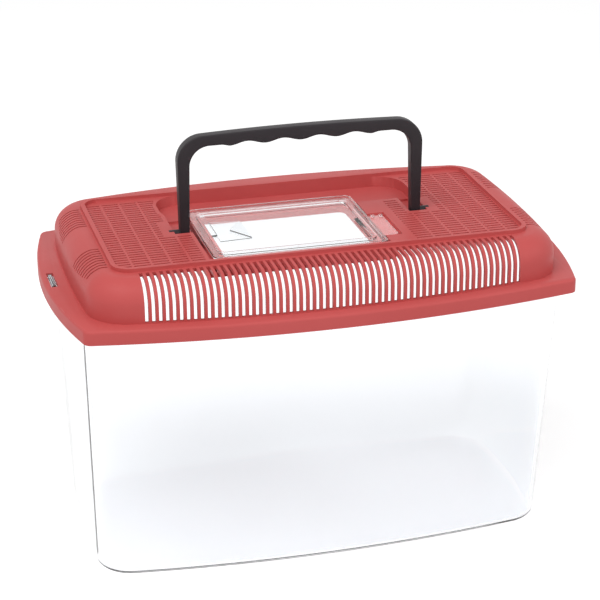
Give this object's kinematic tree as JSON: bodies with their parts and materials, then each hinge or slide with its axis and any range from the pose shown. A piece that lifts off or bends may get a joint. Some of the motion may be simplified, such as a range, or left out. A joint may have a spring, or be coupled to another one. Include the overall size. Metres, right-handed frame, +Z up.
{
  "type": "plastic pet keeper",
  "caption": "Clear carry tank for small animals with a vented lift-off lid, a clear hinged feeding hatch and a carrying handle that folds down into the lid.",
  "frame": {"origin": "middle of the footprint, on the surface the tank stands on", "axes": "+Z up, +X along the tank towards the end opposite the hatch's hinge, -Y towards the front; the handle folds towards +Y"},
  "size_m": [0.28, 0.175, 0.2256],
  "materials": {
    "clear_plastic": "clear, polished",
    "lid_plastic": "satin, injection moulded",
    "hatch_plastic": "clear, polished",
    "handle_plastic": "satin, injection moulded"
  },
  "bodies": {
    "tank": {"tank": "clear_plastic"},
    "lid": {"lid": "lid_plastic"},
    "hatch": {"hatch": "hatch_plastic"},
    "handle": {"handle": "handle_plastic"}
  },
  "joints": [
    {"name": "lid_lift", "type": "slide", "parent": "tank", "child": "lid", "axis": [0, 0, 1], "range_m": [0, 0.15]},
    {"name": "hatch_hinge", "type": "hinge", "parent": "lid", "child": "hatch", "pos_m": [-0.05675, -0.01075, 0.168], "axis": [0, -1, 0], "range_deg": [0, 28]},
    {"name": "handle_pivot", "type": "hinge", "parent": "lid", "child": "handle", "pos_m": [0, -0.002, 0.1712], "axis": [-1, 0, 0], "range_deg": [0, 90]}
  ]
}
